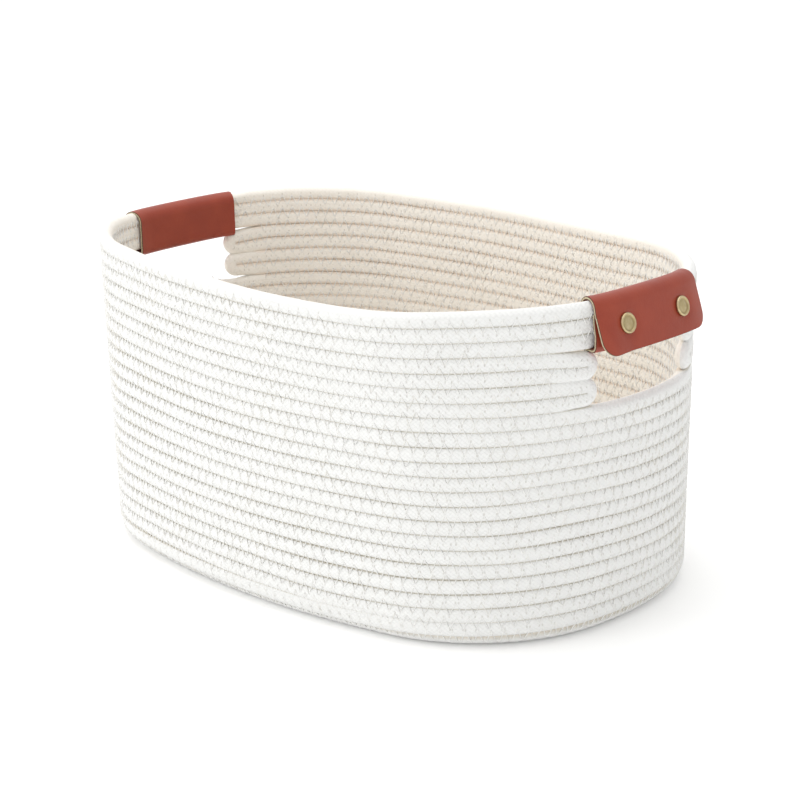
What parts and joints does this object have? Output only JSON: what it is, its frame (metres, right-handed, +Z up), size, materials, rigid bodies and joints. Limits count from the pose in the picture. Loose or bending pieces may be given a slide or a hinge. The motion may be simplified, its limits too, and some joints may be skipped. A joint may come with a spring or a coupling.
{
  "type": "rope storage basket",
  "caption": "Rounded rectangular storage basket of sewn coiled cotton rope, open at the top, with a hand opening and a riveted leather grip at each end.",
  "frame": {"origin": "centre of the basket's bounding box, on the floor that the base rests on", "axes": "+X along the length, towards one grip; +Y across, towards the back; +Z up"},
  "size_m": [0.3932, 0.2576, 0.1863],
  "materials": {
    "rope": "undyed braided cotton, matte",
    "thread": "white sewing thread",
    "leather": "red-brown smooth leather, satin, painted cut edges",
    "rivet": "antique brass, brushed"
  },
  "bodies": {
    "root": {"base_coil": "rope", "wall_coil": "rope", "front_lower_hairpin": "rope", "front_upper_hairpin": "rope", "back_lower_hairpin": "rope", "back_upper_hairpin": "rope", "rim_coil": "rope", "wall_thread": "thread", "side_thread": "thread", "rim_thread": "thread", "right_grip": "leather", "left_grip": "leather", "right_front_rivet_cap": "rivet", "right_back_rivet_cap": "rivet", "left_front_rivet_cap": "rivet", "left_back_rivet_cap": "rivet", "right_front_rivet_post": "rivet", "right_back_rivet_post": "rivet", "left_front_rivet_post": "rivet", "left_back_rivet_post": "rivet"}
  },
  "joints": []
}
